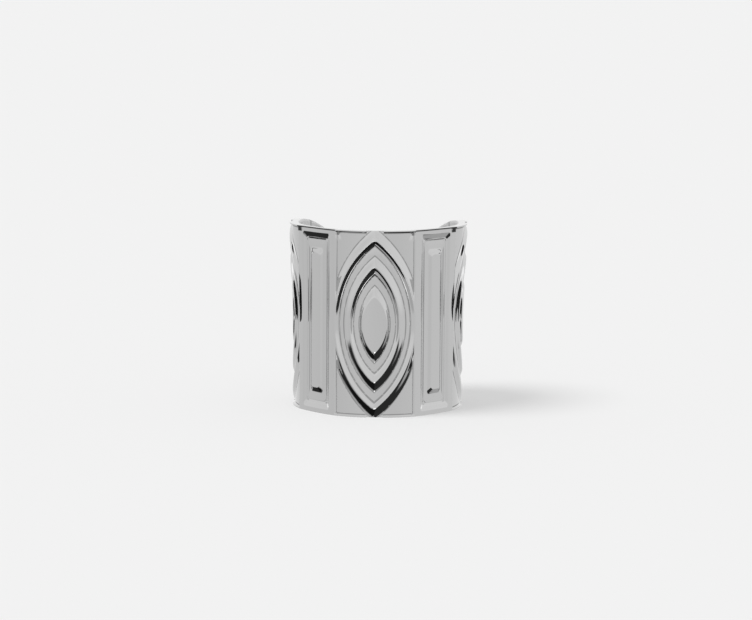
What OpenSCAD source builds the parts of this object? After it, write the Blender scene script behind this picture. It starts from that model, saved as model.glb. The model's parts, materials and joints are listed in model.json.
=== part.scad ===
// Adjustable ring: a wide open band, pressed from one strip and bent round the finger.
// It stands on its lower rim, finger hole upright, with the front panel facing -Y and the gap at +Y.
// Distances round the band are measured along its outer face, from the middle of the front.

/* [Band] */
// Inside diameter of the finger hole
finger_d = 17.3; // [16:0.1:20]
// Thickness of the metal where it isn't sunk
wall = 1.2; // [1:0.05:1.6]
// Height of the band along the finger
band_h = 21.2; // [19:0.1:24]
// Open angle at the back, between the tips of the two ends
gap_angle = 30; // [20:1:50]
// How far the top of the sides leans out
flare = 0.38; // [0:0.02:0.6]

/* [Relief] */
// Width of a marquise panel
panel_w = 9.4; // [9:0.05:9.6]
// Width of a bar panel
bar_w = 6.2; // [5.8:0.05:6.6]
// Depth of the sunk parts below the crests and frames
relief = 0.28; // [0.1:0.01:0.4]
// How much a bar panel is flattened at its middle
bar_flat = 0.24; // [0:0.02:0.4]
// Width of the step between a sunk corner and the frame beside it
step_w = 0.12; // [0.08:0.01:0.2]
// Height of the proud strip along each rim of a marquise panel
strip_h = 0.15; // [0.1:0.01:0.2]
// Height of the slope from that strip down into a sunk corner
strip_slope_h = 0.22; // [0.1:0.01:0.3]
// Half width of the break in that strip, over the tip of the marquise
strip_break = 0.95; // [0.7:0.05:1.2]

/* [Hidden] */

outer_r = finger_d / 2 + wall;
half_h = band_h / 2;
half_w = panel_w / 2;
deg_per_mm = 180 / (PI * outer_r);

// The lens-shaped lines of a marquise panel, from the middle outward.
// Columns: half height as a share of the band's, half width as a share of the panel's, level from 0 to -1
HEIGHT = 0;
WIDTH = 1;
LEVEL = 2;
lens = [
    [0.300, 0.289, 0],    // edge of the boss's face
    [0.420, 0.387, -1],   // foot of the boss
    [0.524, 0.528, -1],   // inner foot of the first ridge
    [0.623, 0.596, 0],    // crest of the first ridge
    [0.733, 0.787, -1],   // outer foot of the first ridge
    [0.838, 0.904, -1],   // inner foot of the second ridge
    [0.905, 1.000, 0],    // crest of the second ridge
    [1.033, 1.177, -1]    // outer foot of the second ridge, past the rims and the panel's sides
];
CREST = len(lens) - 2;
FOOT = len(lens) - 1;
// The boss's face is crowned a little: its middle stands this much over its edge
crown = 0.04;

// The steps of a bar panel, from its frame inward.
// Columns: distance in from the rim, distance in from the side, level from 0 to -1
IN_RIM = 0;
IN_SIDE = 1;
oblong = [
    [0.58, 0.81, 0],      // inner edge of the frame
    [1.35, 1.43, -1],     // foot of the sunk part
    [2.30, 1.78, -1],     // foot of the bar
    [2.90, 2.51, 0]       // edge of the bar's face
];
BAR_EDGE = len(oblong) - 1;

// A column of the surface is a list of [height from the middle, level] from the middle up to the rim.
// Every column has this many points above its middle point.
points_up = len(lens) + 3;

// Where things are, as distances round the band
bar_start = half_w;
bar_end = half_w + bar_w;
side_mid = bar_end + half_w;
side_end = side_mid + half_w;
round_start = (180 - gap_angle / 2) / deg_per_mm - half_h;

// Half height of the band at a distance s round it: the ends are half-round
function half_at(s) = s <= round_start ? half_h
    : sqrt(max(0, pow(half_h, 2) - pow(s - round_start, 2)));

// Half height of a lens line at a distance u from the middle of its panel, 0 past its side points
function lens_v(line, u) =
    let (a = line[HEIGHT] * half_h)
    let (b = line[WIDTH] * half_w)
    let (radius = (a * a + b * b) / (2 * b))
    u >= b ? 0 : sqrt(pow(radius, 2) - pow(radius - b + u, 2));

// Level along the middle height of a panel, where the lines nearer the middle have ended
function mid_level(u) = lookup(u, concat([[0, crown / relief]],
    [for (line = lens) [line[WIDTH] * half_w, line[LEVEL]]]));

// Level of the second ridge's outer slope
function outer_slope(u, v) =
    let (crest = lens_v(lens[CREST], u))
    let (foot = lens_v(lens[FOOT], u))
    -min(1, max(0, (v - crest) / (foot - crest)));

// A column of a marquise panel at a distance u from its middle, under a rim at half height
function marquise_column(u, half) =
    let (strip_edge = half - strip_h)
    let (recess_foot = strip_edge - strip_slope_h)
    let (strip_on = u > strip_break)
    concat(
        [[0, mid_level(u)]],
        [for (k = [0 : CREST])
            let (v = lens_v(lens[k], u))
            [v, v > 0 ? lens[k][LEVEL] : mid_level(u)]],
        [let (v = min(lens_v(lens[FOOT], u), recess_foot)) [v, outer_slope(u, v)]],
        [[recess_foot, outer_slope(u, recess_foot)]],
        [for (v = [strip_edge, half]) [v, strip_on ? 0 : outer_slope(u, v)]]);

// The same column with its levels all at the frame's
function level_column(column) = [for (point = column) [point[0], 0]];

// A column of a bar panel: row counts the steps that lie between it and the panel's side
function bar_column(row, half) =
    let (bar_v = half - oblong[BAR_EDGE][IN_RIM])
    let (steps = points_up - len(oblong))
    concat(
        [for (k = [0 : steps - 1]) [bar_v * k / steps, oblong[row][LEVEL]]],
        [for (k = [BAR_EDGE : -1 : 0]) [half - oblong[k][IN_RIM], oblong[min(k, row)][LEVEL]]],
        [[half, 0]]);

// A column of a plain end
function plain_column(half) = [for (k = [0 : points_up]) [half * k / points_up, 0]];

// Distances from a marquise's middle at which its columns stand: its lines' side points and between
lens_widths = [for (line = lens) if (line[WIDTH] <= 1) line[WIDTH] * half_w];
lens_stops = concat(
    [lens_widths[0] / 3, lens_widths[0] * 2 / 3],
    [for (k = [0 : len(lens_widths) - 2]) each [
        lens_widths[k],
        (lens_widths[k] + lens_widths[k + 1]) / 2]],
    [half_w - step_w]);

// A half-round end's columns stand at these turns round it, from where the side panel lets them
end_turns = [20 : 7 : 90];
end_clearance = 0.2;

// All columns from the middle of the front round to the tip, as [distance s, column]
half_columns = concat(
    [[0, marquise_column(0, half_h)]],
    [for (u = lens_stops) [u, marquise_column(u, half_h)]],
    [[bar_start, level_column(marquise_column(half_w, half_h))]],
    [for (row = [0 : BAR_EDGE]) [bar_start + oblong[row][IN_SIDE], bar_column(row, half_h)]],
    [[(bar_start + bar_end) / 2, bar_column(BAR_EDGE, half_h)]],
    [for (row = [BAR_EDGE : -1 : 0]) [bar_end - oblong[row][IN_SIDE], bar_column(row, half_h)]],
    [[bar_end, level_column(marquise_column(half_w, half_h))]],
    [for (k = [len(lens_stops) - 1 : -1 : 0]) let (u = lens_stops[k])
        [side_mid - u, marquise_column(u, half_at(side_mid - u))]],
    [[side_mid, marquise_column(0, half_at(side_mid))]],
    [for (u = lens_stops) [side_mid + u, marquise_column(u, half_at(side_mid + u))]],
    [[side_end, level_column(marquise_column(half_w, half_at(side_end)))]],
    [for (turn = end_turns) let (s = round_start + half_h * sin(turn))
        if (s > side_end + end_clearance) [s, plain_column(half_at(s))]]);

// Half of the strip, then the other half as its mirror image
columns = concat(
    [for (k = [len(half_columns) - 1 : -1 : 1]) [-half_columns[k][0], half_columns[k][1]]],
    half_columns);

// Radius of the outer face: flattened across a bar panel, leaning out at the top of the sides.
// The lean sets in across the edge between bar panel and side panel, and from mid-height up.
lean_power = 1.3;
function flattening(s) = s <= bar_start || s >= bar_end ? 0
    : bar_flat * (1 - pow((2 * s - bar_start - bar_end) / bar_w, 2));
function lean(s, v) =
    let (share = min(1, max(0, (s - bar_end) / half_w + 0.5)))
    v <= 0 ? 0 : flare * share * pow(sin(90 * v / half_h), lean_power);
function radius_at(s, v, level) =
    outer_r - flattening(abs(s)) + lean(abs(s), v) + level * relief;

function place(s, v, radius) = [
    radius * sin(s * deg_per_mm),
    -radius * cos(s * deg_per_mm),
    half_h + v];

// The points of one column round its section: up the outer face, then down inside the finger hole.
// The pressed strip reaches this far into the hole, which is then bored true.
bore_allowance = 0.6;
inside_r = finger_d / 2 - bore_allowance;
function outer_point(s, v, level) = place(s, v, radius_at(s, v, level));
function section_points(entry) =
    let (s = entry[0])
    let (column = entry[1])
    let (half = column[points_up][0])
    concat(
        [for (k = [points_up : -1 : 1]) outer_point(s, -column[k][0], column[k][1])],
        [for (k = [0 : points_up]) outer_point(s, column[k][0], column[k][1])],
        [place(s, half, inside_r), place(s, -half, inside_r)]);

section_n = 2 * points_up + 3;

module pressed_strip() {
    points = [for (entry = columns) each section_points(entry)];
    last = (len(columns) - 1) * section_n;
    // Each four-cornered patch between two columns is split along its shorter diagonal
    sides = [for (c = [0 : len(columns) - 2]) for (k = [0 : section_n - 1])
        let (a = c * section_n + k)
        let (b = c * section_n + (k + 1) % section_n)
        let (next_a = a + section_n)
        let (next_b = b + section_n)
        let (rising = norm(points[a] - points[next_b]) <= norm(points[b] - points[next_a]))
        each rising ? [[a, b, next_b], [a, next_b, next_a]] : [[a, b, next_a], [b, next_b, next_a]]];
    first_cap = [for (k = [1 : section_n - 2]) [0, k + 1, k]];
    last_cap = [for (k = [1 : section_n - 2]) [last, last + k, last + k + 1]];
    polyhedron(points = points, faces = concat(sides, first_cap, last_cap), convexity = 6);
}

module band() {
    overrun = 1;
    color("silver")
    difference() {
        pressed_strip();
        translate([0, 0, -overrun])
            cylinder(h = band_h + 2 * overrun, r = finger_d / 2, $fn = 120);
    }
}

band();
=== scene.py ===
import json
import math

import bmesh
import bpy
import numpy as np
from mathutils import Matrix, Vector


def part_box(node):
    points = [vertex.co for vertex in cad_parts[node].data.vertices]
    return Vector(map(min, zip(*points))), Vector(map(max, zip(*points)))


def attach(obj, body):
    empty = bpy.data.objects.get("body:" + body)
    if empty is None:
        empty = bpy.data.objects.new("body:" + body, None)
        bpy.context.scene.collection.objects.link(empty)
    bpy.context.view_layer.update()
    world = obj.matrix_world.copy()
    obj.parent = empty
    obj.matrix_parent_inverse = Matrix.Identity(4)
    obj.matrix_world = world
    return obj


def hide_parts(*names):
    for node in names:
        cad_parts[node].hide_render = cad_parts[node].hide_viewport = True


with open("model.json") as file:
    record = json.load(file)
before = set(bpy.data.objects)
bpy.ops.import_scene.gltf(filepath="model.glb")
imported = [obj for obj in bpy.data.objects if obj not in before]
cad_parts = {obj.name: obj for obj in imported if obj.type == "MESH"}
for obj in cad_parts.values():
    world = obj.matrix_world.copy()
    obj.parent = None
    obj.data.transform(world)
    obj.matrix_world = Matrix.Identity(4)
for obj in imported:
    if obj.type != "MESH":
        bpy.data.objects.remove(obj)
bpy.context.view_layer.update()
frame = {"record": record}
bpy.ops.object.select_all(action="DESELECT")

# The band: one strip of brass, pressed with lens-shaped and barred panels, polished, plated bright
# and bent round the finger. It is modelled flat, as the strip lies before it is bent: X runs along
# its outer face from the middle of the front, Z up from mid-height, and Y into the metal.
mm = 0.001
band_low, band_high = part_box("band")
band_h = band_high.z - band_low.z
half_h = band_h / 2
finger_r = frame["record"]["mounts"][0]["dims"]["r_mm"] * mm
boss_crown = 0.04 * mm
outer_r = -band_low.y - boss_crown
wall = outer_r - finger_r
relief = 0.29 * mm
panel_w = 9.4 * mm
bar_w = 6.2 * mm
half_gap_deg = 15
strip_half = math.radians(180 - half_gap_deg) * outer_r
round_start = strip_half - half_h
bar_mid = (panel_w + bar_w) / 2
side_mid = panel_w + bar_w
side_end = 1.5 * panel_w + bar_w
# Upright cuts let the strip bend, and level ones let its sides lean out
slice_w = 0.36 * mm
levels = 8
# Neighbouring panels are pressed apart by this much, and a level web of metal joins them
join_w = 0.1 * mm
# More level cuts stand these counts of a narrow step in from the rims, and bound the dark marks there
rim_step = 0.09 * mm
rim_counts = (1, 2, 6, 7)
# Places nearer to each other than this are taken as the same
tiny = 0.002 * mm


def pick(kind, test):
    """Selects, in edit mode, only the vertices, edges or faces that the test holds for."""
    mesh = bmesh.from_edit_mesh(bpy.context.object.data)
    for element in (*mesh.verts, *mesh.edges, *mesh.faces):
        element.select = False
    for element in getattr(mesh, kind):
        if test(element):
            element.select_set(True)
    bmesh.update_edit_mesh(bpy.context.object.data)


def cut(place, along, keep_below=False):
    """Cuts the whole mesh by a plane, and drops what lies beyond it where keep_below is set."""
    bpy.ops.mesh.select_all(action="SELECT")
    bpy.ops.mesh.bisect(plane_co=place, plane_no=along, clear_outer=keep_below, threshold=tiny / 10)


def mark_feet(features):
    """Marks the scored lines of a panel's feet as sharp, found by how deep they are sunk."""
    depths = {(depth + score_depth) * relief for *_, depth, kind in features if kind == "foot"}
    pick("edges", lambda edge: any(
        all(abs(v.co.y - depth) < tiny for v in edge.verts) for depth in depths))
    bpy.ops.mesh.mark_sharp()


def cut_to_size(width):
    """Trims the mesh in edit mode to a width and the band's height, and slices it both ways."""
    for side in (1, -1):
        cut((side * width / 2, 0, 0), (side, 0, 0), keep_below=True)
        cut((0, 0, side * half_h), (0, 0, side), keep_below=True)
    slices = math.ceil(width / slice_w)
    for k in range(1, slices):
        cut(((k / slices - 0.5) * width, 0, 0), (1, 0, 0))
    for k in range(-levels + 1, levels):
        cut((0, 0, k * half_h / levels), (0, 0, 1))
    for side in (1, -1):
        for count in rim_counts:
            cut((0, 0, side * (half_h - count * rim_step)), (0, 0, 1))


# How a pressed slope falls from a crest or frame to its foot: share of its width, share of its depth.
# All slopes are steep near the top and run out softly, and a ridge's outer side starts rounder
inner_slope = (
    (0.05, 0.05), (0.11, 0.14), (0.20, 0.29), (0.32, 0.48), (0.44, 0.66),
    (0.54, 0.79), (0.62, 0.87), (0.70, 0.925), (0.78, 0.96), (0.87, 0.985))
outer_slope = (
    (0.08, 0.02), (0.17, 0.08), (0.27, 0.19), (0.38, 0.36),
    (0.49, 0.55), (0.60, 0.73), (0.70, 0.86), (0.80, 0.94))
bar_slope = (
    (0.06, 0.03), (0.15, 0.12), (0.28, 0.32), (0.40, 0.53), (0.50, 0.70),
    (0.58, 0.82), (0.66, 0.905), (0.75, 0.95), (0.87, 0.98))
# At the foot of each slope the die has scored a fine line: its half width, how much taller it is at a
# lens's tips, and its depth as a share of the relief
score_w = 0.11 * mm
score = score_w / mm
score_tall = 1.25
score_depth = 0.035

# The crests and feet of a marquise panel, from its corners to its boss. On each: half height and half
# width in millimetres, how far it is sunk as a share of the relief, and which of the two it is
marquise_features = (
    (10.95, 5.53, 1.00, "foot"),
    (9.59, 4.70, 0.00, "crest"),
    (8.88, 4.25, 1.08, "foot"),
    (7.77, 3.70, 1.00, "foot"),
    (6.60, 2.80, 0.00, "crest"),
    (5.55, 2.48, 1.00, "foot"),
    (4.45, 1.82, 1.00, "foot"),
    (3.18, 1.36, 0.00, "crest"),
)
# The level corners begin at a line that lies outside the panel
lens_lines = [(16.40, 8.30, 1.00)]
for number, (a, b, depth, kind) in enumerate(marquise_features):
    if number:
        last_a, last_b, last_depth, last_kind = marquise_features[number - 1]
        step_a, step_b = last_a - a, last_b - b
        if kind == "crest":
            for share, fall in reversed(outer_slope):
                lens_lines.append((a + step_a * share, b + step_b * share, last_depth * fall))
        elif last_kind == "crest":
            for share, fall in inner_slope:
                lens_lines.append((last_a - step_a * share, last_b - step_b * share, depth * fall))
    if kind == "foot":
        lens_lines.append((a + score_tall * score, b + score, depth))
        lens_lines.append((a, b, depth + score_depth))
        lens_lines.append((a - score_tall * score, b - score, depth))
    else:
        lens_lines.append((a, b, depth))
# Each line is two arcs that meet in tips. The first comes from a circle, cut and mirrored, and the
# others are extruded from it, one after the other
line_a, line_b, sunk = lens_lines[0]
arc_r = (line_a ** 2 + line_b ** 2) / (2 * line_b) * mm
arc_segments = 80
full_circle = round(arc_segments * math.pi / math.asin(line_a * mm / arc_r))
bpy.ops.mesh.primitive_circle_add(
    vertices=full_circle, radius=arc_r, fill_type="NOTHING",
    rotation=(math.pi / 2, math.pi / full_circle, 0))
marquise = bpy.context.object
marquise.name = "marquise_panel"
bpy.ops.object.transform_apply()
bpy.ops.object.mode_set(mode="EDIT")
bpy.context.tool_settings.mesh_select_mode = (False, True, False)
bpy.ops.mesh.select_all(action="SELECT")
bpy.ops.transform.translate(value=(line_b * mm - arc_r, sunk * relief, 0))
cut((0, 0, 0), (-1, 0, 0), keep_below=True)
bpy.ops.mesh.select_all(action="SELECT")
bpy.ops.mesh.symmetrize(direction="POSITIVE_X", threshold=tiny)
bpy.ops.mesh.select_all(action="SELECT")
for next_a, next_b, next_sunk in lens_lines[1:]:
    bpy.ops.mesh.extrude_edges_move(
        TRANSFORM_OT_translate={"value": (0, (next_sunk - sunk) * relief, 0)})
    bpy.ops.transform.resize(
        value=(next_b / line_b, 1, next_a / line_a), center_override=(0, sunk * relief, 0))
    line_a, line_b, sunk = next_a, next_b, next_sunk
# The boss's face is crowned towards its middle: share of its size, share of the crown's rise
for share, rise in ((0.96, 0.08), (0.7, 0.5), (0.4, 0.84), (0.1, 0.99)):
    bpy.ops.mesh.extrude_edges_move(
        TRANSFORM_OT_translate={"value": (0, -rise * boss_crown - sunk * relief, 0)})
    sunk = -rise * boss_crown / relief
    factor = share * lens_lines[-1][1] / line_b
    bpy.ops.transform.resize(value=(factor, 1, factor), center_override=(0, 0, 0))
    line_b *= factor
bpy.ops.mesh.merge(type="CENTER")
mark_feet(marquise_features)
# A narrow step leads up to the panel's sides, and a proud strip runs along its rims
step_w = 0.10 * mm
step_foot = panel_w / 2 - step_w
strip_h = 0.13 * mm
strip_slope_h = 0.15 * mm
strip_foot = half_h - strip_h - strip_slope_h
# The strip ends at this distance on either side of the lens's tip
strip_break = 0.95 * mm
cut_to_size(2 * step_foot)
for side in (1, -1):
    cut((side * (step_foot - score_w), 0, 0), (1, 0, 0))
    pick("edges", lambda edge: edge.is_boundary and all(
        abs(v.co.x - side * step_foot) < tiny for v in edge.verts))
    bpy.ops.mesh.extrude_edges_move(TRANSFORM_OT_translate={"value": (side * step_w, 0, 0)})
    bpy.ops.transform.resize(value=(1, 0, 1), center_override=(0, 0, 0))
for side in (1, -1):
    for level in (half_h - strip_h, strip_foot, strip_foot - score_w):
        cut((0, 0, side * level), (0, 0, 1))
    for place in (strip_break, strip_break + join_w):
        cut((side * place, 0, 0), (1, 0, 0))
pick("verts", lambda v: (
    abs(v.co.z) > half_h - strip_h - tiny
    and abs(v.co.x) > strip_break + join_w - tiny))
bpy.ops.transform.resize(value=(1, 0, 1), center_override=(0, 0, 0))
pick("edges", lambda edge: all(v.co.y > relief / 2 for v in edge.verts) and (
    all(abs(abs(v.co.z) - strip_foot) < tiny and abs(v.co.x) > strip_break for v in edge.verts)
    or all(abs(abs(v.co.x) - step_foot) < tiny for v in edge.verts)))
bpy.ops.mesh.mark_sharp()
# Where the strip's foot and the step's foot meet at the top, the die has left a small pit
pit_w = 0.3 * mm
pit_depth = 0.1 * mm
pick("verts", lambda v: (
    abs(v.co.x) > step_foot - pit_w
    and v.co.z > strip_foot - pit_w
    and v.co.y > relief / 2))
bpy.ops.transform.translate(value=(0, pit_depth, 0))
bpy.ops.object.mode_set(mode="OBJECT")

# The same for a bar panel, from its frame inward: distance in from the rim and from the side, how far
# it is sunk, and what it is. The slope up to the bar starts at a soft bend
bar_features = (
    (0.50, 0.78, 0.00, "crest"),
    (1.35, 1.43, 1.00, "foot"),
    (2.18, 1.80, 1.00, "bend"),
    (2.88, 2.48, 0.00, "crest"),
)
bar_steps = []
for number, (in_rim, in_side, depth, kind) in enumerate(bar_features):
    if number:
        last_rim, last_side, _, last_kind = bar_features[number - 1]
        falling = last_kind == "crest"
        slope = bar_slope if falling else reversed(bar_slope)
        for share, fall in slope if "crest" in (last_kind, kind) else ():
            place = share if falling else 1 - share
            bar_steps.append((
                last_rim + (in_rim - last_rim) * place,
                last_side + (in_side - last_side) * place,
                fall))
    if kind == "foot":
        bar_steps.append((in_rim - score, in_side - score, depth))
        bar_steps.append((in_rim, in_side, depth + score_depth))
        bar_steps.append((in_rim + score, in_side + score, depth))
    else:
        bar_steps.append((in_rim, in_side, depth))
# Past its crest the bar's face is level
face_margin = 0.05
bar_steps.append((in_rim + face_margin, in_side + face_margin, 0))
bar_size = (bar_w - 2 * join_w, band_h)
bpy.ops.mesh.primitive_plane_add(size=1, rotation=(math.pi / 2, 0, 0))
bar = bpy.context.object
bar.name = "bar_panel"
bpy.ops.object.transform_apply()
bpy.ops.object.mode_set(mode="EDIT")
bpy.ops.mesh.select_all(action="SELECT")
bpy.ops.transform.resize(value=(bar_size[0], 1, bar_size[1]), center_override=(0, 0, 0))
bpy.ops.mesh.delete(type="ONLY_FACE")
bpy.context.tool_settings.mesh_select_mode = (False, True, False)
bpy.ops.mesh.select_all(action="SELECT")
sunk = 0
for in_rim, in_side, next_sunk in bar_steps:
    next_size = (bar_w - 2 * in_side * mm, band_h - 2 * in_rim * mm)
    bpy.ops.mesh.extrude_edges_move(
        TRANSFORM_OT_translate={"value": (0, (next_sunk - sunk) * relief, 0)})
    bpy.ops.transform.resize(
        value=(next_size[0] / bar_size[0], 1, next_size[1] / bar_size[1]), center_override=(0, 0, 0))
    bar_size, sunk = next_size, next_sunk
bpy.ops.mesh.edge_face_add()
# Inside the frame the corners of all the steps are rounded
corner_bevel = 0.25 * mm
pick("edges", lambda edge: (
    abs(edge.verts[0].co.x - edge.verts[1].co.x) > tiny
    and abs(edge.verts[0].co.z - edge.verts[1].co.z) > tiny
    and max(abs(v.co.x) for v in edge.verts) < bar_w / 2 - bar_steps[0][1] * mm + tiny))
bpy.ops.mesh.bevel(offset=corner_bevel, offset_type="OFFSET", segments=6, affect="EDGES")
mark_feet(bar_features)
cut_to_size(bar_w - 2 * join_w)
bpy.ops.object.mode_set(mode="OBJECT")

# The plain end of the strip, left long and square here and cut half-round once it is joined on
end_length = strip_half - side_end - join_w + tiny
bpy.ops.mesh.primitive_plane_add(size=1, rotation=(math.pi / 2, 0, 0))
plain_end = bpy.context.object
plain_end.name = "plain_end"
bpy.ops.object.transform_apply()
bpy.ops.object.mode_set(mode="EDIT")
bpy.ops.mesh.select_all(action="SELECT")
bpy.ops.transform.resize(value=(end_length, 1, band_h), center_override=(0, 0, 0))
cut_to_size(end_length)
bpy.ops.object.mode_set(mode="OBJECT")


def copy_to(piece, place):
    """A copy of a piece with its own mesh, moved along the strip."""
    twin = piece.copy()
    twin.data = piece.data.copy()
    twin.data.transform(Matrix.Translation((place, 0, 0)))
    bpy.context.collection.objects.link(twin)
    return twin


# The right half of the strip is put together, trimmed half-round at its end and mirrored
parts = [copy_to(marquise, 0), copy_to(bar, bar_mid), copy_to(marquise, side_mid)]
parts.append(copy_to(plain_end, side_end + join_w + end_length / 2))
for pattern in (marquise, bar, plain_end):
    bpy.data.objects.remove(pattern)
bpy.ops.object.select_all(action="DESELECT")
for part in parts:
    part.select_set(True)
band = parts[0]
bpy.context.view_layer.objects.active = band
bpy.ops.object.join()
band.name = "ring_band"
bpy.ops.object.mode_set(mode="EDIT")
bpy.context.tool_settings.mesh_select_mode = (False, True, False)
cut((0, 0, 0), (-1, 0, 0), keep_below=True)
for seam in (panel_w / 2, panel_w / 2 + bar_w, side_end):
    pick("edges", lambda edge: (
        edge.is_boundary
        and all(abs(v.co.x - seam) < join_w + tiny for v in edge.verts)
        and abs(edge.verts[0].co.x - edge.verts[1].co.x) < tiny))
    bpy.ops.mesh.bridge_edge_loops()
# The half-round end is cut by this many planes round its circle
end_cuts = 44
for k in range(end_cuts):
    turn = math.pi * ((k + 0.5) / end_cuts - 0.5)
    along = Vector((math.cos(turn), 0, math.sin(turn)))
    cut(Vector((round_start, 0, 0)) + half_h * along, along, keep_below=True)
bpy.ops.mesh.select_all(action="SELECT")
bpy.ops.mesh.symmetrize(direction="POSITIVE_X", threshold=tiny)
bpy.ops.mesh.select_all(action="SELECT")
bpy.ops.mesh.remove_doubles(threshold=tiny)

# The outline of the strip goes into a mesh of its own, which gets the walls and the inner face. The
# walls have rings for the rounding of their inner edge, and the inner face is cut so that it bends
inner_round = 0.30 * mm
round_steps = 5
pick("edges", lambda edge: edge.is_boundary)
bpy.ops.mesh.duplicate()
bpy.ops.mesh.separate(type="SELECTED")
bpy.ops.object.mode_set(mode="OBJECT")
lining = next(piece for piece in bpy.context.selected_objects if piece != band)
bpy.ops.object.select_all(action="DESELECT")
lining.select_set(True)
bpy.context.view_layer.objects.active = lining
bpy.ops.object.mode_set(mode="EDIT")
bpy.ops.mesh.select_all(action="SELECT")
bpy.ops.mesh.extrude_edges_move(TRANSFORM_OT_translate={"value": (0, wall - inner_round, 0)})
bpy.ops.transform.resize(value=(1, 0, 1), center_override=(0, wall - inner_round, 0))
for k in range(round_steps):
    gain = math.sin(math.pi / 2 * (k + 1) / round_steps) - math.sin(math.pi / 2 * k / round_steps)
    bpy.ops.mesh.extrude_edges_move(TRANSFORM_OT_translate={"value": (0, inner_round * gain, 0)})
bpy.ops.mesh.edge_face_add()
inner_slices = round(strip_half / slice_w)
for k in range(-inner_slices + 1, inner_slices):
    pick("faces", lambda face: abs(face.normal.y) > 0.5)
    bpy.ops.mesh.bisect(
        plane_co=(k * strip_half / inner_slices, wall, 0), plane_no=(1, 0, 0), threshold=tiny / 10)
bpy.ops.object.mode_set(mode="OBJECT")
band.select_set(True)
bpy.context.view_layer.objects.active = band
bpy.ops.object.join()
bpy.ops.object.mode_set(mode="EDIT")
bpy.ops.mesh.select_all(action="SELECT")
bpy.ops.mesh.remove_doubles(threshold=tiny)
bpy.ops.mesh.select_all(action="SELECT")
bpy.ops.mesh.normals_make_consistent(inside=False)
# The outer edges of the rims and ends stay crisp: one face there is a wall, level to within this
wall_tilt = 0.02
pick("edges", lambda edge: (
    edge.verts[0].co.y < wall / 2
    and len(edge.link_faces) == 2
    and sum(abs(face.normal.y) < wall_tilt for face in edge.link_faces) == 1))
bpy.ops.mesh.mark_sharp()
bpy.ops.object.mode_set(mode="OBJECT")
bpy.ops.object.shade_smooth()

# The last shaping moves each point by a formula. Its normals are kept, so that they can be bent too
places = np.empty(len(band.data.vertices) * 3)
band.data.vertices.foreach_get("co", places)
places = places.reshape(-1, 3)
# The tips of the crests, where two arcs of this slope meet, are rounded over this distance on either
# side of the panel's middle. The feet keep their points
tip_w = 0.35 * mm
tip_slope = 0.77
off_tip = np.minimum(np.abs(places[:, 0]), np.abs(np.abs(places[:, 0]) - side_mid))
tip_share = np.clip(1 - places[:, 1] / relief, 0, 1) * (places[:, 1] < 0.5 * wall)
tip_share *= np.abs(places[:, 2]) < half_h - 3 * rim_step
blunting = tip_slope * np.clip(tip_w - off_tip, 0, None) ** 2 / (2 * tip_w)
places[:, 2] -= np.sign(places[:, 2]) * tip_share * blunting
# The inner edges are rounded: the walls' rings draw in towards the strip's middle line
middle = np.clip(places[:, 0], -round_start, round_start)
turned_in = np.clip((places[:, 1] - wall + inner_round) / inner_round, 0, 1)
drawn_in = 1 - inner_round * (1 - np.sqrt(1 - turned_in ** 2)) / half_h
places[:, 0] = middle + (places[:, 0] - middle) * drawn_in
places[:, 2] *= drawn_in
band.data.vertices.foreach_set("co", places.ravel())
band.data.update()
flat_normals = np.empty(len(band.data.loops) * 3)
band.data.corner_normals.foreach_get("vector", flat_normals)
flat_normals = flat_normals.reshape(-1, 3)
corner_vertex = np.empty(len(band.data.loops), int)
band.data.loops.foreach_get("vertex_index", corner_vertex)
# On the walls, their rounding and the inner face, all deeper than the relief and the pits, the
# normals are those of true rounds
wall_depth = 1.4 * relief
centres = np.empty(len(band.data.polygons) * 3)
band.data.polygons.foreach_get("center", centres)
corner_counts = np.empty(len(band.data.polygons), int)
band.data.polygons.foreach_get("loop_total", corner_counts)
on_wall = np.repeat(centres[1::3] > wall_depth, corner_counts)
away = np.stack((places[:, 0] - middle, turned_in * 0, places[:, 2]), -1)
away /= np.maximum(np.linalg.norm(away, axis=1, keepdims=True), tiny)
away *= np.sqrt(1 - turned_in ** 2)[:, None]
away[:, 1] = turned_in
flat_normals[on_wall] = away[corner_vertex[on_wall]]
# The outside of the plain ends is level
on_end = np.repeat(np.abs(centres[::3]) > side_end + join_w, corner_counts) & ~on_wall
flat_normals[on_end] = (0, -1, 0)


# Bending: a point at a depth y and a distance x comes to a radius and a turn round the finger. The
# bar panels stay half flat outside, where the finger hole is round, and the tops of the sides lean
# out in their whole thickness. The flat strip's normals turn with it
bar_flat = 0.24 * mm
flare = 0.42 * mm
lean_power = 1.3


def proud(x, y, z):
    """How far the bent strip stands out from a true round, at a place on the flat one."""
    off_bar = (np.abs(x) - bar_mid) / (bar_w / 2)
    flat = bar_flat * np.clip(1 - off_bar ** 2, 0, 1)
    share = np.clip((np.abs(x) - panel_w / 2 - bar_w) / (panel_w / 2) + 0.5, 0, 1)
    lean = flare * share * np.sin(math.pi / 2 * np.clip(z / half_h, 0, 1)) ** lean_power
    return lean - flat * (1 - y / wall)


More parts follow.
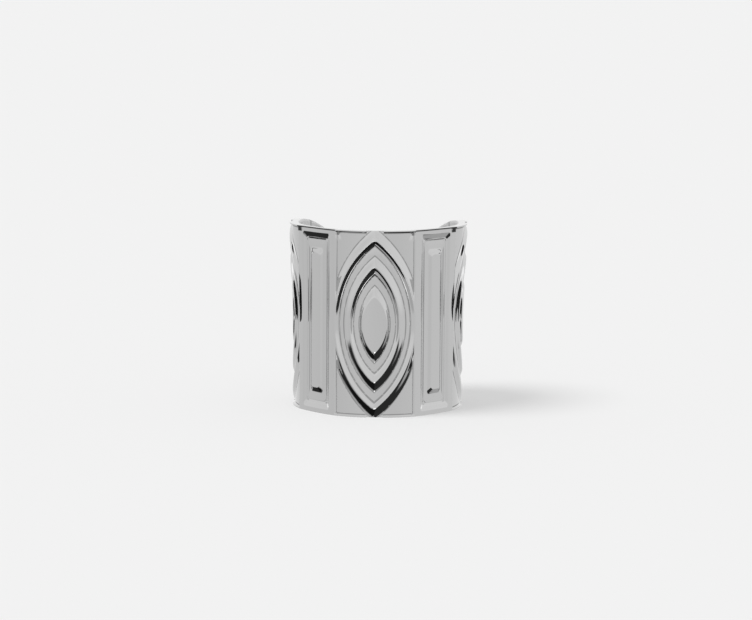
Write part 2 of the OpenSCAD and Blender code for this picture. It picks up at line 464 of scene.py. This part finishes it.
x, y, z = places.T
radius = outer_r - y + proud(x, y, z)
turn = x / outer_r
bent = np.stack((radius * np.sin(turn), -radius * np.cos(turn), z + half_h), -1)
band.data.vertices.foreach_set("co", bent.ravel())
x, y, z = places[corner_vertex].T
radius = outer_r - y + proud(x, y, z)
turn = x / outer_r
rise_x = (proud(x + tiny, y, z) - proud(x - tiny, y, z)) / (2 * tiny)
rise_z = (proud(x, y, z + tiny) - proud(x, y, z - tiny)) / (2 * tiny)
squeeze = 1 - (proud(x, y + tiny, z) - proud(x, y - tiny, z)) / (2 * tiny)
outward = -flat_normals[:, 1] / squeeze
around = (flat_normals[:, 0] - rise_x * outward) * outer_r / radius
upward = flat_normals[:, 2] - rise_z * outward
bent_normals = np.stack((
    outward * np.sin(turn) + around * np.cos(turn),
    -outward * np.cos(turn) + around * np.sin(turn),
    upward), -1)
bent_normals /= np.linalg.norm(bent_normals, axis=1, keepdims=True)
band.data.normals_split_custom_set(bent_normals.tolist())

# The scored feet are marked for painted shade, which darkens the colour in place of the shade and dark
# reflections that fall into these creases: 0 is bright and 1 dark. They are sharp edges, and so is the
# outline of the strip, which stays bright
crease_shade_attr = band.data.attributes.new("score", "FLOAT", "POINT")
crease_shade = np.zeros(len(band.data.vertices))
sharp = np.zeros(len(band.data.edges), bool)
band.data.attributes["sharp_edge"].data.foreach_get("value", sharp)
edge_ends = np.empty(len(band.data.edges) * 2, int)
band.data.edges.foreach_get("vertices", edge_ends)
crease_shade[edge_ends.reshape(-1, 2)[sharp].ravel()] = 1
x, y, z = places.T
crease_shade[np.hypot(x - middle, z) > half_h - tiny] = 0
# The painted shade in the lines is darkest on the side panels. Elsewhere it is paler, and on the bar
# panels faint
off_bar = np.abs(np.abs(x) - bar_mid)
off_side = np.abs(np.abs(x) - side_mid)
pale = 0.6
faint = 0.15
crease_shade[off_bar < bar_w / 2 + 1.5 * step_w] *= faint
crease_shade[off_side > step_foot - tiny] *= pale
# But the upright lines of a bar panel on slopes that face away from the front get more painted shade
upright_dark = 0.45
far_foot = bar_mid + bar_w / 2 - bar_features[2][1] * mm
near_foot = bar_mid - bar_w / 2 + bar_features[1][1] * mm
off_foot = np.minimum(np.abs(np.abs(x) - far_foot), np.abs(np.abs(x) - near_foot))
on_upright = (off_foot < tiny) & (y > 0.7 * relief)
on_upright &= np.abs(z) < half_h - bar_features[2][0] * mm
crease_shade[on_upright] = upright_dark
# Painted shade also draws a dark line along the top of a bar panel and a dark mark in each of the sides'
# top corners
on_bar_top = (off_bar < bar_w / 2) & (z > half_h - 1.1 * rim_step) & (y < 0.1 * mm)
corner_mark_w = 0.45 * mm
corner_mark_x = side_mid - panel_w / 2 - 0.2 * mm
in_corner = np.abs(np.abs(x) - corner_mark_x) < corner_mark_w
in_corner &= (z > half_h - 6.5 * rim_step) & (y < relief)
crease_shade[on_bar_top | in_corner] = 1
# The small pits get a lighter painted shade
pit_dark = 0.4
pit_reach = pit_w + 5 * tiny
off_step = np.minimum(np.abs(off_side - step_foot), np.abs(np.abs(x) - step_foot))
in_pit = (off_step < pit_reach) & (z > strip_foot - pit_reach) & (z < half_h - strip_h)
in_pit &= y > relief
crease_shade[in_pit] = pit_dark
crease_shade_attr.data.foreach_set("value", crease_shade)
# The inner face is left as the mandrel leaves it, less bright than the outside
inner_mark = band.data.attributes.new("inside", "FLOAT", "POINT")
inner_mark.data.foreach_set("value", (y > wall - inner_round / 2).astype(float))
band.data.update()

# The plating: bright silver over the brass, polished outside and left duller inside. Its colour is
# painted grey to black where the score marks say so, as painted shade in the creases and corners
silver = bpy.data.materials.new("polished_silver_plating")
silver.use_nodes = True
nodes = silver.node_tree.nodes
links = silver.node_tree.links
shader = nodes["Principled BSDF"]
shader.inputs["Metallic"].default_value = 1
shader.inputs["Roughness"].default_value = 0.05
# Painted shade: the score attribute mixes the base colour from bright silver to near black
crease_shade_input = nodes.new("ShaderNodeAttribute")
crease_shade_input.attribute_name = "score"
painted_shade_mix = nodes.new("ShaderNodeMix")
painted_shade_mix.data_type = "RGBA"
painted_shade_mix.inputs["A"].default_value = (0.6, 0.6, 0.6, 1)
painted_shade_mix.inputs["B"].default_value = (0.04, 0.04, 0.04, 1)
links.new(crease_shade_input.outputs["Fac"], painted_shade_mix.inputs["Factor"])
links.new(painted_shade_mix.outputs["Result"], shader.inputs["Base Color"])
inside_mask = nodes.new("ShaderNodeAttribute")
inside_mask.attribute_name = "inside"
finish = nodes.new("ShaderNodeMapRange")
finish.inputs["To Min"].default_value = 0.05
finish.inputs["To Max"].default_value = 0.4
links.new(inside_mask.outputs["Fac"], finish.inputs["Value"])
# Wear has left a faint haze in patches, and fine rubbing marks run round the band
where = nodes.new("ShaderNodeTexCoord")
patches = nodes.new("ShaderNodeTexNoise")
patches.inputs["Scale"].default_value = 450
patches.inputs["Detail"].default_value = 6
links.new(where.outputs["Object"], patches.inputs["Vector"])
haze = nodes.new("ShaderNodeMapRange")
haze.inputs["From Min"].default_value = 0.5
haze.inputs["From Max"].default_value = 0.8
haze.inputs["To Max"].default_value = 0.06
links.new(patches.outputs["Fac"], haze.inputs["Value"])
roughened = nodes.new("ShaderNodeMath")
links.new(finish.outputs["Result"], roughened.inputs[0])
links.new(haze.outputs["Result"], roughened.inputs[1])
links.new(roughened.outputs[0], shader.inputs["Roughness"])
stretched = nodes.new("ShaderNodeMapping")
stretched.inputs["Scale"].default_value = (300, 300, 12000)
links.new(where.outputs["Object"], stretched.inputs["Vector"])
rubbing = nodes.new("ShaderNodeTexNoise")
rubbing.inputs["Scale"].default_value = 1
rubbing.inputs["Detail"].default_value = 3
links.new(stretched.outputs["Vector"], rubbing.inputs["Vector"])
marks = nodes.new("ShaderNodeBump")
marks.inputs["Strength"].default_value = 0.05
marks.inputs["Distance"].default_value = 0.002 * mm
links.new(rubbing.outputs["Fac"], marks.inputs["Height"])
links.new(marks.outputs["Normal"], shader.inputs["Normal"])
band.data.materials.clear()
band.data.materials.append(silver)
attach(band, "root")
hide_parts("band")

# The floor: a wide sheet of pale, dull paper that the ring stands on. It is lit a little from below,
# as on a light table, and the metal doesn't mirror it, because the studio has its own dark below
bpy.ops.mesh.primitive_plane_add(size=8)
floor = bpy.context.object
floor.name = "paper_floor"
paper = bpy.data.materials.new("pale_paper")
paper.use_nodes = True
sheet = paper.node_tree.nodes["Principled BSDF"]
sheet.inputs["Base Color"].default_value = (0.45, 0.45, 0.45, 1)
sheet.inputs["Emission Color"].default_value = (1, 1, 1, 1)
sheet.inputs["Emission Strength"].default_value = 0.40
sheet.inputs["Specular IOR Level"].default_value = 0
sheet.inputs["Roughness"].default_value = 1
floor.data.materials.append(paper)
floor.visible_glossy = False

# The studio: pale walls that light the ring softly from all round. In the metal they are a little
# darker to the left, and black below an edge whose height changes on the way round
world = bpy.data.worlds.new("studio")
bpy.context.scene.world = world
world.use_nodes = True
nodes = world.node_tree.nodes
links = world.node_tree.links
nodes.clear()


def reckon(operation, *values):
    """A math node of the studio's light, fed by numbers or by other nodes' outputs."""
    node = nodes.new("ShaderNodeMath")
    node.operation = operation
    for place, value in enumerate(values):
        if isinstance(value, (int, float)):
            node.inputs[place].default_value = value
        else:
            links.new(value, node.inputs[place])
    return node.outputs[0]


def soft_step(value, low, high):
    """Rises from 0 to 1 as a value goes from low to high."""
    node = nodes.new("ShaderNodeMapRange")
    node.interpolation_type = "SMOOTHSTEP"
    links.new(value, node.inputs["Value"])
    node.inputs["From Min"].default_value = low
    node.inputs["From Max"].default_value = high
    return node.outputs["Result"]


def by_stops(share, stops):
    """A value that follows a share of the way round or up, from (share, value) stops."""
    node = nodes.new("ShaderNodeValToRGB")
    links.new(share, node.inputs["Fac"])
    elements = node.color_ramp.elements
    elements[0].position, elements[1].position = stops[0][0], stops[-1][0]
    elements[0].color = (stops[0][1],) * 3 + (1,)
    elements[1].color = (stops[-1][1],) * 3 + (1,)
    for place, value in stops[1:-1]:
        elements.new(place).color = (value, value, value, 1)
    return node.outputs["Color"]


direction = nodes.new("ShaderNodeTexCoord").outputs["Generated"]
parted = nodes.new("ShaderNodeSeparateXYZ")
links.new(direction, parted.inputs[0])
x, y, z = parted.outputs
azimuth = reckon("ARCTAN2", x, reckon("MULTIPLY", y, -1))
way_round = reckon("ADD", reckon("DIVIDE", azimuth, 2 * math.pi), 0.5)


def round_the_ring(stops):
    """A value by the way round, from (degrees, value) stops: 0 at the camera, minus to the left."""
    return by_stops(way_round, [(turn / 360 + 0.5, value) for turn, value in stops])


walls = round_the_ring((
    (-180, 0.84), (-150, 0.84), (-130, 0.80), (-100, 0.79), (-60, 0.76), (-20, 0.82),
    (0, 0.80), (25, 0.78), (60, 0.83), (100, 0.84), (150, 0.84), (180, 0.84)))
edge_drop = round_the_ring((
    (-180, 0.95), (-152, 0.95), (-142, 0.60), (-132, 0.60), (-122, 0.32), (-88, 0.27), (-72, 0.25),
    (-42, 0.28), (-18, 0.34), (0, 0.38), (12, 0.37), (22, 0.31), (42, 0.25), (54, 0.21), (78, 0.26),
    (90, 0.34), (130, 0.36), (142, 0.60), (152, 0.95), (180, 0.95)))
lit = soft_step(reckon("ADD", z, edge_drop), -0.05, 0.03)
# From just below mid-height up the walls are brighter
raised = by_stops(reckon("ADD", reckon("MULTIPLY", z, 0.5), 0.5), (
    (0, 1), (0.46, 1), (0.5, 1.12), (0.55, 1.2), (0.65, 1.15), (1, 1.12)))
reflected = reckon("MULTIPLY", reckon("MULTIPLY", walls, raised), lit)
# On both sides of the front the dark below the edge is grey, down to a deeper edge
gloom_left = round_the_ring((
    (-180, 0.01), (-80, 0.01), (-66, 0.30), (-54, 0.56),
    (-20, 0.60), (-10, 0.28), (0, 0.01), (180, 0.01)))
gloom_right = round_the_ring((
    (-180, 0.01), (80, 0.01), (94, 0.50), (126, 0.52), (138, 0.01), (180, 0.01)))
darkest = 0.014
gloom = reckon("ADD", reckon("MULTIPLY", gloom_left, soft_step(z, -0.88, -0.76)), darkest)
gloom = reckon("ADD", reckon("MULTIPLY", gloom_right, soft_step(z, -0.78, -0.68)), gloom)
reflected = reckon("ADD", reflected, reckon("MULTIPLY", gloom, reckon("SUBTRACT", 1, lit)))
# Soft lamps: way round, height and radius in degrees, and added light
for way, up, reach, light in ((1, -25, 8, 2.0), (-118, 3, 9, 0.5), (112, 3, 9, 0.4)):
    turn, height = math.radians(way), math.radians(up)
    towards = nodes.new("ShaderNodeVectorMath")
    towards.operation = "DOT_PRODUCT"
    links.new(direction, towards.inputs[0])
    towards.inputs[1].default_value = (
        math.sin(turn) * math.cos(height), -math.cos(turn) * math.cos(height), math.sin(height))
    rim, core = math.cos(math.radians(reach)), math.cos(math.radians(0.6 * reach))
    spot = soft_step(towards.outputs["Value"], rim, core)
    reflected = reckon("ADD", reflected, reckon("MULTIPLY", spot, light))
# The metal reflects all this, and everything else gets an even light
seen = nodes.new("ShaderNodeBackground")
links.new(reflected, seen.inputs["Strength"])
ambient = nodes.new("ShaderNodeBackground")
ambient.inputs["Strength"].default_value = 0.6
path = nodes.new("ShaderNodeLightPath")
blend = nodes.new("ShaderNodeMixShader")
links.new(path.outputs["Is Glossy Ray"], blend.inputs["Fac"])
links.new(ambient.outputs[0], blend.inputs[1])
links.new(seen.outputs[0], blend.inputs[2])
output = nodes.new("ShaderNodeOutputWorld")
links.new(blend.outputs[0], output.inputs["Surface"])
for background in (seen, ambient):
    background.inputs["Color"].default_value = (1, 1, 1, 1)

# The key: a broad soft light from above the front left, which throws the ring's faint shadow to the
# right behind it. The metal doesn't mirror it
bpy.ops.object.light_add(type="SUN", rotation=(math.radians(12), math.radians(-30), 0))
sun = bpy.context.object
sun.name = "soft_key"
sun.data.energy = 1.8
sun.data.angle = math.radians(28)
sun.visible_glossy = False

# The cards: four dark flags close beside the ring, a light one on the floor to its left and right,
# and a dark one on the floor in front. They are seen only in the metal, and fade out where it sees
# them aslant. On each: place, turn about X and about Y in degrees, size along and across, and light
card_values = (
    ((-22, -0.2, 21.1), (18, 90), (2.4, 11.5), 0.01),
    ((-14, -2.2, 12.4), (0, 90), (6.4, 2.5), 0.01),
    ((22, -0.2, 21.1), (18, 90), (2.4, 11.5), 0.02),
    ((14, -2.2, 12.4), (0, 90), (6.4, 2.5), 0.02),
    ((-19, 3, 0.02), (0, 0), (14, 13), 0.8),
    ((19, 3, 0.02), (0, 0), (14, 13), 0.8),
    ((-9, -13, 0.03), (0, 0), (20, 14), 0.01),
)
for number, (place, tilt, size, light) in enumerate(card_values):
    bpy.ops.mesh.primitive_circle_add(
        vertices=48, radius=0.5, fill_type="NGON", location=Vector(place) * mm)
    card = bpy.context.object
    card.name = "studio_card_%d" % (number + 1)
    bpy.ops.transform.resize(value=(size[0] * mm, size[1] * mm, 1))
    bpy.ops.object.transform_apply(location=False, rotation=False, scale=True)
    card.rotation_euler = (math.radians(tilt[0]), math.radians(tilt[1]), 0)
    colour = bpy.data.materials.new("card_%d" % (number + 1))
    colour.use_nodes = True
    nodes = colour.node_tree.nodes
    links = colour.node_tree.links
    shine = nodes.new("ShaderNodeEmission")
    shine.inputs["Strength"].default_value = light
    clear = nodes.new("ShaderNodeBsdfTransparent")
    slant = nodes.new("ShaderNodeLayerWeight")
    grazing = nodes.new("ShaderNodeMapRange")
    fade_from, fade_to = (0.68, 0.75) if light > 0.5 else (0.50, 0.60)
    grazing.inputs["From Min"].default_value = fade_from
    grazing.inputs["From Max"].default_value = fade_to
    card_mix = nodes.new("ShaderNodeMixShader")
    links.new(slant.outputs["Facing"], grazing.inputs["Value"])
    links.new(grazing.outputs["Result"], card_mix.inputs["Fac"])
    links.new(shine.outputs[0], card_mix.inputs[1])
    links.new(clear.outputs[0], card_mix.inputs[2])
    links.new(card_mix.outputs[0], nodes["Material Output"].inputs["Surface"])
    card.data.materials.append(colour)
    card.visible_camera = False
    card.visible_diffuse = False
    card.visible_shadow = False

# The camera stands where the photo was taken from, a little above the ring and to its right. It aims
# at a point this high, and this much to the left of the ring's axis
pitch = math.radians(7.987)
yaw = math.radians(2.303)
roll = math.radians(0.366)
distance = 324.83 * mm
aim_height = 10.912 * mm
aim_left = 0.227 * mm
aim = Vector((-aim_left * math.cos(yaw), -aim_left * math.sin(yaw), aim_height))
camera_data = bpy.data.cameras.new("photo_camera")
camera_data.sensor_width = 36
camera_data.lens = 134.12
camera_data.clip_start = 0.01
camera = bpy.data.objects.new("photo_camera", camera_data)
bpy.context.collection.objects.link(camera)
camera.matrix_world = (
    Matrix.Translation(aim) @ Matrix.Rotation(yaw, 4, "Z") @ Matrix.Rotation(math.pi / 2 - pitch, 4, "X")
    @ Matrix.Rotation(roll, 4, "Z") @ Matrix.Translation((0, 0, distance)))
bpy.context.scene.camera = camera
bpy.context.scene.view_settings.view_transform = "Standard"
